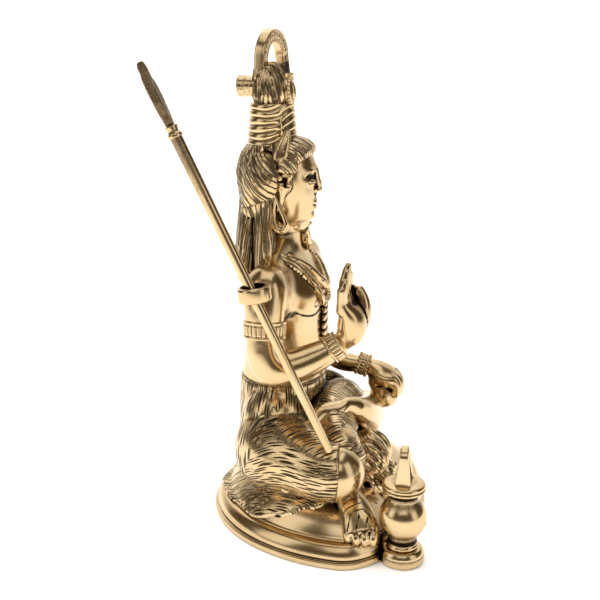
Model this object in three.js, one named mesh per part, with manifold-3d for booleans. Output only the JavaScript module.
// A seated figure of Shiva in cast brass: a figure on a tiger skin, a plinth, a stream of water,
// a water pot and a trident that lifts out. Millimetres, Z up, the figure looks along -Y, and its
// right side is at -X. The origin is on the plinth's flat underside, straight below the head.
import * as THREE from 'three';
import { mergeVertices } from 'three/addons/utils/BufferGeometryUtils.js';
import Module from 'manifold-3d';

const wasm = await Module();
wasm.setup();

// Driving sizes
const figureHeight = 220; // from the plinth's top to the crown of the stream of water
const fitGap = 0.3; // between pieces that touch

const plinthHeight = 10;
const plinthMargin = 4.5; // past the knees
const plinthMarginBehind = 5.5; // past the skin
const domeInset = 6.6; // of the cast dome's edge, inside the flange
const flangeHeight = 3;
const grooveDepth = 1.2;
const grooveHeight = 1;
const bandInset = 4.6; // the top edge inside the flange
const lobeHeight = 7;
const lobeMargin = 3; // round the pot's foot

const potDiameter = 20;
const potHeight = 27; // foot to the underside of the lid
const potFootDiameter = 14;
const potReach = 5.9; // of its middle, in front of the plinth's edge
const lidDiameter = 19.5;
const lidThickness = 4.6;
const handleHeight = 17.2;
const handleSpan = 9; // between the middles of its feet
const handleStrap = 4.4; // width of the strap at the top
const handleThickness = 2.4;

const staffTopDiameter = 5.2;
const staffMiddleDiameter = 4.5; // at the ring
const staffFootDiameter = 3.8;
const staffTilt = 26; // degrees back from upright
const ringBore = 9.6; // wide enough for the leaning staff
const ringWall = 2.6;
const ringHeight = 6.6;
const ringTilt = 8; // degrees back from upright
const ringOffset = 1; // of its middle, in front of the staff's
const collarHeight = 5;
const tridentHeadHeight = 29;
const tridentHeadWidth = 22;
const tridentThickness = 3.8;
const tridentTurn = 17; // degrees round the staff, its edge toward the right side

// Proportions of the figure, in shares: one share is a 220th of its height
const share = figureHeight / 220;
const floorZ = plinthHeight + fitGap;
const at = (x, y, z) => new THREE.Vector3(x * share, y * share, z * share + floorZ);

// A sphere's grid, every vertex moved to place(angle, along). Rows 0 and steps are points.
function skin(sides, steps, place) {
  const geometry = new THREE.SphereGeometry(1, sides, steps);
  const position = geometry.attributes.position;
  let index = 0;
  for (let row = 0; row <= steps; row++) {
    for (let column = 0; column <= sides; column++) {
      const point = place((2 * Math.PI * (column % sides)) / sides, row / steps, column % sides, row);
      position.setXYZ(index, point.x, point.y, point.z);
      index++;
    }
  }
  return geometry;
}

// A closed limb through stations [x, y, z, radius across, radius along the depth], rounded at both
// ends. side is the direction of the first radius. crease(angle, along) scales both radii.
function limb(stations, options = {}) {
  const { sides = 10, steps = 8, side = [1, 0, 0], caps = 1, dome = 0.7, crease = null, square = 1,
      turn = 0 } = options;
  const path = new THREE.CatmullRomCurve3(stations.map(([x, y, z]) => at(x, y, z)), false, 'catmullrom');
  const radii = new THREE.CatmullRomCurve3(
    stations.map(([, , , a, b]) => new THREE.Vector3(a * share, (b ?? a) * share, 0)),
    false,
    'catmullrom'
  );
  const across = new THREE.Vector3(...side);
  const rows = steps + 2 * caps;
  return skin(sides, rows, (angle, _, column, row) => {
    const t = Math.min(Math.max((row - caps) / steps, 0), 1);
    const outside = Math.max(caps - row, row - caps - steps, 0) / caps;
    const middle = path.getPoint(t);
    const size = radii.getPoint(t);
    const along = path.getTangent(t);
    const first = across.clone().addScaledVector(along, -across.dot(along)).normalize();
    const second = first.clone().cross(along);
    const shrink = Math.cos((outside * Math.PI) / 2);
    const push = Math.sin((outside * Math.PI) / 2) * dome * Math.min(size.x, size.y);
    middle.addScaledVector(along, row < caps ? -push : push);
    if (outside === 1) return middle;
    const ripple = crease ? crease(angle, t, column) : 1;
    const bend = (value) => Math.sign(value) * Math.abs(value) ** square;
    middle.addScaledVector(first, size.x * shrink * ripple * bend(Math.cos(angle + turn)));
    return middle.addScaledVector(second, size.y * shrink * ripple * bend(Math.sin(angle + turn)));
  });
}

// An egg with three radii, turned by Euler angles in degrees
function egg(centre, radii, turn = [0, 0, 0], sides = 12, steps = 8) {
  const geometry = new THREE.SphereGeometry(1, sides, steps);
  geometry.rotateX(Math.PI / 2);
  geometry.scale(radii[0] * share, radii[1] * share, radii[2] * share);
  geometry.applyMatrix4(turned(turn));
  const middle = at(...centre);
  return geometry.translate(middle.x, middle.y, middle.z);
}

function turned(degrees) {
  const euler = new THREE.Euler(...degrees.map(THREE.MathUtils.degToRad));
  return new THREE.Matrix4().makeRotationFromEuler(euler);
}

// A lathe of [radius, height] points round Z, standing at a point
function turnedForm(profile, sides, [x, y, z] = [0, 0, 0]) {
  const geometry = new THREE.LatheGeometry(profile.map(([r, h]) => new THREE.Vector2(r, h)), sides);
  geometry.rotateX(Math.PI / 2);
  return geometry.translate(x, y, z);
}

function solid(geometry) {
  const bare = geometry.clone();
  bare.deleteAttribute('normal');
  bare.deleteAttribute('uv');
  const merged = mergeVertices(bare, 1e-4);
  const triVerts = new Uint32Array(merged.index.array);
  const vertProperties = new Float32Array(merged.attributes.position.array);
  const made = new wasm.Manifold(new wasm.Mesh({ numProp: 3, vertProperties, triVerts }));
  if (made.volume() > 0) return made;
  for (let i = 0; i < triVerts.length; i += 3) {
    [triVerts[i + 1], triVerts[i + 2]] = [triVerts[i + 2], triVerts[i + 1]];
  }
  return new wasm.Manifold(new wasm.Mesh({ numProp: 3, vertProperties, triVerts }));
}

const joined = (geometries) => geometries.map(solid).reduce((sum, next) => sum.add(next));

function meshOf(name, shape, material) {
  const made = shape.getMesh();
  const geometry = new THREE.BufferGeometry();
  geometry.setAttribute('position', new THREE.BufferAttribute(new Float32Array(made.vertProperties), 3));
  geometry.setIndex(new THREE.BufferAttribute(new Uint32Array(made.triVerts), 1));
  geometry.computeVertexNormals();
  const mesh = new THREE.Mesh(geometry, material);
  mesh.name = name;
  return mesh;
}

const mirrored = (stations) => stations.map(([x, ...rest]) => [-x, ...rest]);
const brass = new THREE.MeshStandardMaterial({ color: 0xb5923f, roughness: 0.28, metalness: 1 });

// Places that several pieces share, in shares from the plinth's top
const knee = { right: [-47.5, -29.8, 29.4], left: [41.5, -24.8, 22.3], radius: 11.2 };
const skinEdge = { centreY: -10, halfWidth: 43.5, back: 46.4, front: 27 };
const dome = { height: 13.5, roundness: 7, frontShare: 0.25 }; // cast in one with the figure

// Trident: its axis runs from a foot on the thigh, back and up beside the arm
const tilt = THREE.MathUtils.degToRad(staffTilt);
const staffDirection = new THREE.Vector3(0, Math.sin(tilt), Math.cos(tilt));
const staffFoot = at(-52.6, -25.4, 41.8);
const staffLength = 150.5 * share; // foot to collar
const ringAlong = 78 * share; // foot to the middle of the ring
const alongStaff = (distance) => staffFoot.clone().addScaledVector(staffDirection, distance);

function onStaff(geometry, distance) {
  geometry.rotateX(-tilt);
  const start = alongStaff(distance);
  return geometry.translate(start.x, start.y, start.z);
}

function makeTrident() {
  const top = staffTopDiameter / 2;
  const staff = turnedForm([
    [0, 0],
    [staffFootDiameter / 2, 0],
    [staffMiddleDiameter / 2, ringAlong],
    [top, staffLength],
    [top + 0.6, staffLength],
    [top + 0.6, staffLength + collarHeight * 0.3],
    [top - 0.4, staffLength + collarHeight * 0.5],
    [top + 0.4, staffLength + collarHeight],
    [0, staffLength + collarHeight + 1],
  ], 10);
  const outline = new THREE.Shape();
  const half = tridentHeadWidth / 2;
  const height = tridentHeadHeight;
  const barb = height * 0.64;
  outline.moveTo(-1.6, 0);
  outline.bezierCurveTo(-1.6, height * 0.2, -half, height * 0.12, -half, height * 0.42);
  outline.quadraticCurveTo(-half - 0.8, barb, -half + 1.2, height * 0.78);
  outline.quadraticCurveTo(-half + 4.2, barb, -half + 3, height * 0.44);
  outline.quadraticCurveTo(-half + 3.4, height * 0.3, -1.5, height * 0.34);
  outline.lineTo(-1.3, height * 0.6);
  outline.quadraticCurveTo(-4.2, height * 0.78, 0, height);
  outline.quadraticCurveTo(4.2, height * 0.78, 1.3, height * 0.6);
  outline.lineTo(1.5, height * 0.34);
  outline.quadraticCurveTo(half - 3.4, height * 0.3, half - 3, height * 0.44);
  outline.quadraticCurveTo(half - 4.2, barb, half - 1.2, height * 0.78);
  outline.quadraticCurveTo(half + 0.8, barb, half, height * 0.42);
  outline.bezierCurveTo(half, height * 0.12, 1.6, height * 0.2, 1.6, 0);
  const bevel = tridentThickness * 0.3;
  const head = new THREE.ExtrudeGeometry(outline, {
    depth: tridentThickness - 2 * bevel,
    curveSegments: 2,
    bevelThickness: bevel,
    bevelSize: bevel * 0.6,
    bevelOffset: -bevel * 0.6,
    bevelSegments: 1,
  });
  head.translate(0, 0, -(tridentThickness - 2 * bevel) / 2);
  head.rotateX(Math.PI / 2);
  head.rotateZ(THREE.MathUtils.degToRad(tridentTurn));
  return joined([onStaff(staff, 0), onStaff(head, staffLength + collarHeight)]);
}

// Plinth: two half ellipses that meet at its widest line, below the knees
const plinthCentreY = (knee.right[1] - 0.2) * share;
const plinthHalfWidth = (Math.abs(knee.right[0]) + knee.radius) * share + plinthMargin;
const plinthBack = (skinEdge.centreY + skinEdge.back + 0.6) * share - plinthCentreY + plinthMarginBehind;
const plinthFront = 24 * share + plinthMargin + bandInset;

function plinthPoint(angle, inset, z) {
  const depth = Math.sin(angle) > 0 ? plinthBack : plinthFront;
  const x = (plinthHalfWidth - inset) * Math.cos(angle);
  return new THREE.Vector3(x, plinthCentreY + (depth - inset) * Math.sin(angle), z);
}

// Water pot: its middle is just outside the plinth, by the right knee
const potAngle = THREE.MathUtils.degToRad(222);
const potEdge = plinthPoint(potAngle, 0, 0);
const potPlace = [potEdge.x, potEdge.y - potReach];

function makePlinth() {
  const grooveTop = flangeHeight + grooveHeight;
  const band = plinthHeight - grooveTop;
  const levels = [
    [0.4, 0],
    [0, 0.8],
    [0, flangeHeight - 0.5],
    [grooveDepth, flangeHeight],
    [grooveDepth, grooveTop],
    [bandInset * 0.35, grooveTop + band * 0.4],
    [bandInset * 0.65, grooveTop + band * 0.75],
    [bandInset, plinthHeight],
  ];
  const body = skin(24, levels.length + 1, (angle, _, column, row) => {
    if (row === 0) return new THREE.Vector3(0, plinthCentreY, 0);
    if (row > levels.length) return new THREE.Vector3(0, plinthCentreY, plinthHeight);
    return plinthPoint(angle, ...levels[row - 1]);
  });
  const lobeRadius = potFootDiameter / 2 + lobeMargin;
  const lobe = turnedForm([
    [0, 0],
    [lobeRadius - 0.4, 0],
    [lobeRadius, 0.8],
    [lobeRadius, lobeHeight - 1.5],
    [lobeRadius - 1.4, lobeHeight],
    [0, lobeHeight],
  ], 14, [...potPlace, 0]);
  return joined([body, lobe]);
}

// Pot, lid and strap handle, cast in one and closed
function makePot() {
  const belly = potDiameter / 2;
  const foot = potFootDiameter / 2;
  const neck = belly * 0.6;
  const lid = lidDiameter / 2;
  const lidTop = potHeight + lidThickness;
  const profile = [[0, 0], [foot, 0], [foot + 0.2, 1.2], [foot - 0.6, 2.2], [neck, 3]];
  for (let i = 0; i <= 4; i++) {
    const turn = THREE.MathUtils.degToRad(-50 + i * 25);
    profile.push([belly * Math.cos(turn), potHeight * 0.53 + potHeight * 0.4 * Math.sin(turn)]);
  }
  profile.push([neck, potHeight * 0.93], [neck, potHeight], [lid - 1, potHeight + 0.3]);
  profile.push([lid, potHeight + lidThickness * 0.3], [lid - 0.6, potHeight + lidThickness * 0.42]);
  profile.push([lid, potHeight + lidThickness * 0.55], [lid - 0.9, potHeight + lidThickness * 0.85]);
  profile.push([lid * 0.6, lidTop], [0, lidTop]);
  const place = [...potPlace, lobeHeight + fitGap];
  const body = turnedForm(profile, 12, place);
  const outer = handleSpan / 2 + handleThickness / 2;
  const bow = new THREE.Shape();
  bow.moveTo(outer, 0);
  bow.lineTo(outer * 0.85, handleHeight - outer * 0.85);
  bow.absarc(0, handleHeight - outer * 0.85, outer * 0.85, 0, Math.PI, false);
  bow.lineTo(-outer, 0);
  const inner = outer - handleThickness;
  bow.lineTo(-inner, 0);
  bow.absarc(0, handleHeight - outer * 0.85, inner * 0.8, Math.PI, 0, true);
  bow.lineTo(inner, 0);
  const strap = new THREE.ExtrudeGeometry(bow, { depth: 1, bevelEnabled: false, curveSegments: 4 });
  strap.translate(0, 0, -0.5);
  strap.rotateX(Math.PI / 2);
  const vertices = strap.attributes.position;
  for (let i = 0; i < vertices.count; i++) {
    const widen = 1.7 - 0.7 * (vertices.getZ(i) / handleHeight);
    vertices.setY(i, vertices.getY(i) * handleStrap * widen);
  }
  strap.translate(place[0], place[1], place[2] + lidTop - 0.6);
  return joined([body, strap]);
}

// Stream of water: a flat band that springs from the knot of hair and falls on the left side
const streamFoot = [-4, 17, 199];
const streamSpring = [-4, 17, 207];
const streamFar = [16.5, 12.4, 207];
const streamLow = [18.5, 9.4, 178];
const streamEnd = [16.5, 10.5, 161];
const streamRise = 11; // of the middle of its bow above the springing

function streamGeometry() {
  const stations = [[...streamFoot, 2, 2.9], [...streamSpring, 2, 2.9]];
  const arcSteps = 6;
  for (let i = 1; i < arcSteps; i++) {
    const turn = (Math.PI * i) / arcSteps;
    const blend = (1 - Math.cos(turn)) / 2;
    stations.push([
      THREE.MathUtils.lerp(streamSpring[0], streamFar[0], blend),
      THREE.MathUtils.lerp(streamSpring[1], streamFar[1], blend),
      streamSpring[2] + streamRise * Math.sin(turn),
      2,
      2.9,
    ]);
  }
  stations.push([...streamFar, 2, 2.8], [...streamLow, 1.9, 2.6], [...streamEnd, 1.6, 2.3]);
  return limb(stations, { sides: 4, steps: 18, side: [0.2, 1, 0.1], turn: Math.PI / 4, square: 0.3,
      dome: 0.2 });
}

// Both sides of a limb that the figure has twice
const pair = (stations, options) => [limb(stations, options), limb(mirrored(stations), options)];

// Every second side of a limb is sunk, which leaves locks or ribs
const locks = (depth) => (angle, along, column) => (column % 2 ? 1 : 1 - depth);

function bodyForms() {
  const torso = [
    [0, 8, 25, 34, 21], [0, 8.5, 40, 30.5, 21], [0, 8.5, 52, 24.5, 20.5], [0, 7.5, 64, 22.5, 20],
    [0, 6.5, 74, 22.5, 19], [0, 5.5, 84, 26, 17.5], [0, 5, 94, 30.5, 17], [0, 5.5, 103, 33.5, 16.4],
    [0, 7, 111, 32, 14], [0, 8.5, 117, 22, 11], [0, 8.8, 122, 11.5, 9.5], [0, 8.5, 128, 9.3, 9.2],
    [0, 8, 136, 9.3, 9.2],
  ];
  const forms = [limb(torso, { sides: 12, steps: 8 })];
  forms.push(...[-1, 1].map((s) => egg([15 * s, -5.5, 100], [11.5, 6.5, 8], [12, 0, 0], 7, 4)));
  const upperArm = [[-24, 8.5, 112, 7.5], [-33.5, 7, 109.5, 11], [-38.5, 7, 101, 9.8], [-41, 6.8, 90, 8.4]];
  const rightArm = [
    ...upperArm, [-42.4, 6, 80, 8.7], [-42, 1.5, 74.5, 8.6], [-39, -6, 75.2, 8.2],
    [-34.5, -15, 78.6, 7.4], [-30.5, -24, 83.5, 5.4], [-30, -27.5, 87, 4.8],
  ];
  const leftArm = [
    ...mirrored(upperArm), [43.5, 7, 78, 9], [43.5, 5, 67, 8.6], [42.5, -4, 57, 7],
    [41, -14, 50.6, 5.6], [40.2, -25, 49.8, 4.6], [41, -29, 48.6, 4.4],
  ];
  forms.push(limb(rightArm, { sides: 8, steps: 7 }), limb(leftArm, { sides: 8, steps: 7 }));
  return forms;
}

// Bands round a limb: armlets, bangles and anklets
function bandForms() {
  const forms = [];
  const bands = [
    [[-40, 6.9, 95, 9.8], [-41, 6.8, 88.4, 9.4]],
    [[40, 6.9, 95, 9.8], [41, 6.8, 88.4, 9.4]],
    [[-31.6, -22.2, 82.6, 7.3], [-30.4, -25.2, 84.6, 6.9]],
    [[40.6, -23.2, 50.1, 6.6], [40.6, -27.4, 49, 6.6]],
  ];
  for (const [from, to] of bands) {
    forms.push(limb([from, to], { sides: 8, steps: 1, dome: 0.08, crease: locks(0.05) }));
  }
  return forms;
}

function handForms() {
  const palm = [
    [-30, -27, 86, 5.2, 4.6], [-29.6, -30.4, 91, 7.8, 7], [-29.4, -30.6, 97, 9, 6.6],
    [-29.4, -28, 103, 9, 4], [-29.4, -27.2, 107, 8.6, 3.1],
  ];
  const forms = [limb(palm, { sides: 8, steps: 3 })];
  const fingers = [[-36.2, 117.5], [-31.8, 121], [-27.3, 122], [-23, 118.5]];
  for (const [x, tip] of fingers) {
    const middle = (106 + tip) / 2;
    const stations = [[x, -27, 104, 2.3], [x, -27.6, middle, 2.2], [x, -29.6, tip - 1.6, 1.8]];
    forms.push(limb(stations, { sides: 5, steps: 2 }));
  }
  forms.push(limb([[-24, -31, 91, 3.4], [-21.8, -35.4, 98, 3], [-21.6, -34.8, 104, 2.5],
      [-22.2, -32.4, 109.6, 2]],
    { sides: 6, steps: 3 }));
  // left hand, closed loosely over the knee
  forms.push(limb([[41, -28, 48.8, 5, 4], [41.4, -33, 47.4, 8, 4.4], [42, -39, 45.2, 8.4, 4]],
      { sides: 8, steps: 2 }));
  forms.push(egg([41, -37.6, 36.4], [7.6, 6, 9], [0, 0, 0], 7, 4));
  for (let i = 0; i < 4; i++) {
    const x = 35 + 4.2 * i;
    const reach = [0, 1, 0.8, -0.6][i];
    const stations = [[x, -39, 45, 2.4], [x, -44.6 - reach, 40, 2.3], [x, -42.6 - reach, 31, 2.1]];
    forms.push(limb(stations, { sides: 5, steps: 2 }));
  }
  forms.push(limb([[36.6, -31, 45.6, 2.8], [33.6, -36, 43, 2.5], [33.4, -41.4, 41, 2]],
      { sides: 5, steps: 2 }));
  return forms;
}

function legForms() {
  const thigh = [
    [-16, 11, 26, 22, 17], [-24, 7.5, 27.5, 21.5, 19.4], [-33, -3, 29, 18.8, 19.5],
    [-41.5, -16, 29.6, 15, 15.6],
    [-46.5, -28, 29.6, 12.6, 12.6],
  ];
  const leftThigh = mirrored(thigh);
  leftThigh.splice(3, 2, [39.5, -12, 25, 15.5, 15.6], [41.5, -20, 22.8, 13, 13]);
  const forms = [thigh, leftThigh].map((line) => limb(line,
      { sides: 9, steps: 4, side: [0, 0, 1], dome: 0.25 }));
  const kneeOptions = { sides: 9, steps: 1, side: [0, 0, 1], caps: 2, dome: 1 };
  forms.push(limb([[-45, -24, 29.6, 11.4], [...knee.right, knee.radius]], kneeOptions));
  forms.push(limb([[41.5, -18, 22.8, 11.8], [...knee.left, knee.radius + 0.6]], kneeOptions));
  forms.push(egg([0, -8, 34], [30, 22, 17], [0, 0, 0], 9, 4));
  forms.push(...[-1, 1].map((s) => egg([22 * s, 9, 40], [15, 19, 17], [0, 0, 0], 7, 4)));
  const rightShin = [[-45, -29.5, 28, 10.8], [-33, -28.6, 28, 10], [-16, -29, 24, 9], [4, -29, 19, 7.6],
      [22, -26, 14, 6.4]];
  const leftShin = [[41, -25, 22.4, 11.2], [30, -28.6, 26.5, 10.4], [16, -30.6, 32.5, 9],
      [0, -30.8, 40, 7.2], [-10, -28.8, 45.6, 5.6]];
  const foot = [[-9, -28.8, 45.4, 5.6], [-16, -24, 47.8, 5.4, 4], [-24, -18.5, 47.4, 5.8, 3.2],
      [-30, -14.5, 45.6, 4.6, 2.6]];
  for (const shin of [rightShin, leftShin]) forms.push(limb(shin, { sides: 7, steps: 4, side: [0, 0, 1] }));
  forms.push(limb(foot, { sides: 7, steps: 3, side: [1, -1, 0] }));
  return forms;
}

// Face to a plain standard: the nose a third of the way up, the eyes half way up the head
function headForms() {
  const face = [
    [0, 7, 165.5, 11, 10.4], [0, 5.6, 161, 14, 12.8], [0, 5, 155, 14.8, 13.2], [0, 4.8, 148, 14.2, 12.6],
    [0, 4.4, 140, 12.2, 11.3], [0, 3.4, 134, 9, 9.4], [0, 2.6, 131.6, 6, 7],
  ];
  const forms = [limb(face, { sides: 11, steps: 5 })];
  forms.push(limb([[0, -7.6, 157.5, 1, 1], [0, -9.3, 151, 1.5, 1.6], [0, -9.6, 147.6, 2.3, 2]],
      { sides: 5, steps: 2 }));
  forms.push(...[-1, 1].map((s) => egg([5.6 * s, -6.6, 154], [3.6, 1.8, 1.9], [0, 0, 0], 6, 4)));
  forms.push(egg([0, -7.4, 141.2], [3.8, 1.7, 1.7], [0, 0, 0], 6, 4), egg([0, -5.4, 134.8], [4, 2.6, 2.8],
      [0, 0, 0], 6, 4));
  for (const s of [-1, 1]) {
    forms.push(egg([15.8 * s, 5, 152], [1.8, 4.2, 6.4], [12, 0, -14 * s], 6, 4));
    const hoop = new THREE.TorusGeometry(4.4 * share, 1.2 * share, 4, 8);
    hoop.rotateY(Math.PI / 2);
    const middle = at(16.4 * s, 5, 138.4);
    forms.push(hoop.translate(middle.x, middle.y, middle.z));
  }
  return forms;
}

function hairForms() {
  const forms = [
    limb([[0, 11.5, 170.5, 11, 10.5], [0, 13, 163, 18, 15.2], [0, 14, 154, 19, 16.4],
        [0, 16, 145, 18.6, 13], [0, 18, 139, 18.6, 10]],
      { sides: 14, steps: 3, crease: locks(0.05) }),
    limb([[-8, 5, 161.4, 10, 11], [0, 4.2, 162.8, 10.8, 12.6], [8, 5, 161.4, 10, 11]],
      { sides: 12, steps: 2, side: [0, 0, 1], dome: 0.9, crease: locks(0.06) }),
    limb([[0, 18, 146, 18.5, 10.4], [0, 19.4, 136, 20, 9.6], [0, 20.6, 124, 23, 9.2],
        [0, 21, 114, 25, 8.6], [0, 21.4, 109, 24, 7.6]],
      { sides: 16, steps: 2, dome: 0.3, crease: locks(0.08) }),
  ];
  forms.push(...pair([[-14.6, 12.5, 164, 4.6, 7], [-16.2, 14, 156, 6, 9], [-16.4, 16, 146, 5.4, 8],
      [-16.5, 18, 140, 4, 6]],
    { sides: 8, steps: 2, crease: locks(0.1) }));
  const lock = [[-17, 9.5, 148, 3, 4], [-18.5, 10, 136, 3.6, 4.6], [-21, 12, 122, 3.6, 4.8],
      [-22, 14, 108, 2, 3]];
  forms.push(...pair(lock, { sides: 6, steps: 3, crease: locks(0.12) }));
  return forms;
}

// Hair wound in rings, with a tied tuft above it, a stub behind and an oval jewel in front
function topknotForms() {
  const rings = 6;
  const bottom = 166.5;
  const pitch = 22 / rings;
  const profile = [[0, bottom]];
  for (let i = 0; i < rings; i++) {
    const radius = THREE.MathUtils.lerp(12.2, 10.2, i / (rings - 1));
    const z = bottom + i * pitch;
    profile.push([radius - 1.3, z], [radius, z + pitch * 0.5]);
  }
  profile.push([7.2, bottom + 22], [0, bottom + 22]);
  const coil = turnedForm(profile.map(([r, z]) => [r * share, z * share]), 12);
  coil.translate(0, 13 * share, floorZ);
  const tuft = [[0, 12.6, 186, 7.6], [-0.4, 13.4, 192, 9], [-1, 14.4, 199, 8], [-2, 15.6, 204, 6]];
  return [
    coil,
    limb(tuft, { sides: 10, steps: 2, dome: 0.3, crease: locks(0.09) }),
    limb([[0, 17, 195.5, 4.6], [0, 28.3, 195.5, 5]], { sides: 7, steps: 1, side: [0, 0, 1], dome: 0.3 }),
    egg([-1, 5.4, 193.6], [4.6, 3.4, 8], [-8, 0, 0], 7, 4),
    limb([[-12.6, 3.4, 176.5, 0.8, 0.9], [-13.6, 4.4, 171, 1.6, 2], [-14, 5.4, 165.6, 2.2, 2.8]],
        { sides: 6, steps: 2, dome: 0.15 }),
  ];
}

function necklaceForms() {
  const snake = [
    [3.6, -3.2, 130.6, 1.6], [4.2, -4.2, 126, 2.4], [8.4, -2, 121.2, 2.6], [17, 6, 120.6, 2.8],
    [13, 17, 124.5, 3],
    [0, 20, 126, 3], [-13, 17, 124.5, 3], [-17.6, 7.5, 120.4, 3], [-16.6, -2, 114.8, 2.8],
    [-13.4, -7.6, 108.4, 2.6],
    [-11, -10.8, 102.6, 1.9], [-10, -12, 98.6, 0.9],
  ];
  const strand = [
    [0, 20.4, 122.8, 1.6], [19, 8, 120, 1.6], [19, 1, 115, 1.7], [14, -7.4, 107, 1.7],
    [7, -11.8, 101.4, 1.7],
    [0, -12.8, 99.4, 1.7],
  ];
  const forms = [limb(snake, { sides: 4, steps: 10 })];
  forms.push(limb([...strand, ...mirrored(strand).slice(1, -1).reverse()], { sides: 4, steps: 10 }));
  forms.push(egg([3.6, -4.4, 129.8], [2.7, 1.5, 3.4], [-10, 0, 0], 6, 4));
  forms.push(limb([[-3, -12.6, 97, 2, 1.4], [-3.4, -12.4, 90, 2.6, 1.5], [-3.4, -12.8, 82, 2.8, 1.6],
      [-2.6, -13.4, 75, 2.2, 1.4]],
    { sides: 5, steps: 3 }));
  return forms;
}

// Height of the dome over a place: it rises from the plinth's edge and is low in front
function domeHeight(x, y) {
  const centreY = plinthCentreY / share;
  const depth = (y > centreY ? plinthBack : plinthFront) / share;
  const width = plinthHalfWidth / share;
  const reach = Math.hypot(x / width, (y - centreY) / depth);
  const inset = (1 - reach) * Math.min(width,
      Math.hypot(x, y - centreY) / Math.max(reach, 0.01)) - domeInset / share;
  const low = THREE.MathUtils.lerp(dome.frontShare, 1, THREE.MathUtils.smoothstep(y, -52, -28));
  return low * dome.height * (1 - Math.exp(-Math.max(inset, 0) / dome.roundness));
}

function domeForm() {
  const insets = [0, 0, 3, 8, 16, 34];
  return skin(20, insets.length + 1, (angle, _, column, row) => {
    if (row === 0) return at(0, skinEdge.centreY, 0);
    if (row > insets.length) return at(0, skinEdge.centreY, dome.height);
    const edge = plinthPoint(angle, domeInset + insets[row - 1] * share, 0).divideScalar(share);
    return at(edge.x, edge.y, row === 1 ? 0 : Math.max(domeHeight(edge.x, edge.y), 0.8));
  });
}

// Tiger skin: it lies over the dome, with the head and forepaws in front
function skinForm() {
  const rings = [[1, -1.4], [1, 1.6], [0.9, 2.2]]; // scale, height above the dome
  return skin(18, rings.length + 1, (angle, _, column, row) => {
    if (row === 0) return at(0, skinEdge.centreY, dome.height - 3);
    if (row > rings.length) return at(0, skinEdge.centreY, dome.height + 2);
    const [scale, above] = rings[row - 1];
    const depth = Math.sin(angle) > 0 ? skinEdge.back : skinEdge.front;
    const x = skinEdge.halfWidth * scale * Math.cos(angle);
    const y = skinEdge.centreY + depth * scale * Math.sin(angle);
    return at(x, y, Math.max(domeHeight(x, y) + above, 0.4));
  });
}

function tigerForms() {
  const x = -12;
  const forms = [
    domeForm(),
    skinForm(),
    egg([x, -37, 22], [12.5, 10, 12], [0, 0, 0], 9, 5),
    egg([x, -44.6, 15], [7.6, 5.8, 6], [0, 0, 0], 6, 4),
    egg([x, -49.4, 17], [2.8, 1.9, 2], [0, 0, 0], 6, 4),
    limb([[x, -34, 4.6, 7.6, 4.4], [x, -43, 4.4, 6.4, 3.6], [x, -48, 4.2, 4.8, 2.8]],
        { sides: 8, steps: 2 }),
  ];
  for (const s of [-1, 1]) {
    forms.push(limb([[x + 3 * s, -43, 27.6, 2, 2], [x + 8 * s, -43, 26.4, 2.2, 2.2],
        [x + 11.3 * s, -39, 22.4, 1.8, 1.8]], { sides: 5, steps: 2 }));
    forms.push(egg([x + 10.4 * s, -37, 15], [2.6, 3.8, 3.8], [0, 0, -20 * s], 7, 4));
    forms.push(limb([[x + 4 * s, -48, 12, 1.5], [x + 4 * s, -47.6, 7.2, 0.6]], { sides: 4, steps: 1 }));
  }
  const nearForeleg = [[-33, -28, 15, 6, 5], [-41, -33.5, 12.5, 7, 5], [-48.5, -38, 8, 8, 4.2],
      [-53.6, -40.4, 4.2, 8.4, 3.6]];
  const farForeleg = [[33, -24, 13, 6, 5], [41, -27, 11, 6.5, 4.8], [48.6, -29, 6.6, 6.6, 4.2]];
  for (const stations of [nearForeleg, farForeleg]) {
    forms.push(limb(stations, { sides: 6, steps: 3, side: [0, 1, 0], dome: 0.5 }));
  }
  return forms;
}

// Ring on the outside of the right arm, wider than the staff, and the bridge to the arm
const ringMiddle = alongStaff(ringAlong).add(new THREE.Vector3(0, -ringOffset, 0));

function ringForm(profile, sides) {
  const geometry = turnedForm(profile, sides);
  geometry.rotateX(THREE.MathUtils.degToRad(-ringTilt));
  return geometry.translate(ringMiddle.x, ringMiddle.y, ringMiddle.z);
}

function ringForms() {
  const outer = ringBore / 2 + ringWall;
  const half = ringHeight / 2;
  const profile = [[0, -half], [outer - 0.5, -half], [outer, 0.6 - half], [outer, half - 0.6],
      [outer - 0.5, half], [0, half]];
  const arm = at(-38.5, 7, 103);
  const length = ringMiddle.distanceTo(arm);
  const bridge = new THREE.CylinderGeometry(half * 1.5, half, length, 6);
  bridge.translate(0, length / 2, 0);
  const toArm = arm.clone().sub(ringMiddle).normalize();
  bridge.applyQuaternion(new THREE.Quaternion().setFromUnitVectors(new THREE.Vector3(0, 1, 0), toArm));
  bridge.translate(ringMiddle.x, ringMiddle.y, ringMiddle.z);
  return [ringForm(profile, 14), bridge];
}

function makeFigure() {
  const body = joined([
    ...bodyForms(), ...bandForms(), ...handForms(), ...legForms(), ...headForms(), ...hairForms(),
    ...topknotForms(), ...necklaceForms(), ...tigerForms(), ...ringForms(), streamGeometry(),
  ]);
  const whole = wasm.Manifold.compose(body.decompose().filter((piece) => piece.volume() > 0)); // no bubbles
  const radius = ringBore / 2;
  const bore = ringForm([[0, -ringHeight], [radius, -ringHeight], [radius, ringHeight],
      [0, ringHeight]], 14);
  return whole.subtract(solid(bore));
}

const part = new THREE.Group();
part.add(
  meshOf('plinth', makePlinth(), brass),
  meshOf('figure', makeFigure(), brass),
  meshOf('water_pot', makePot(), brass),
  meshOf('trident', makeTrident(), brass)
);
export default part;
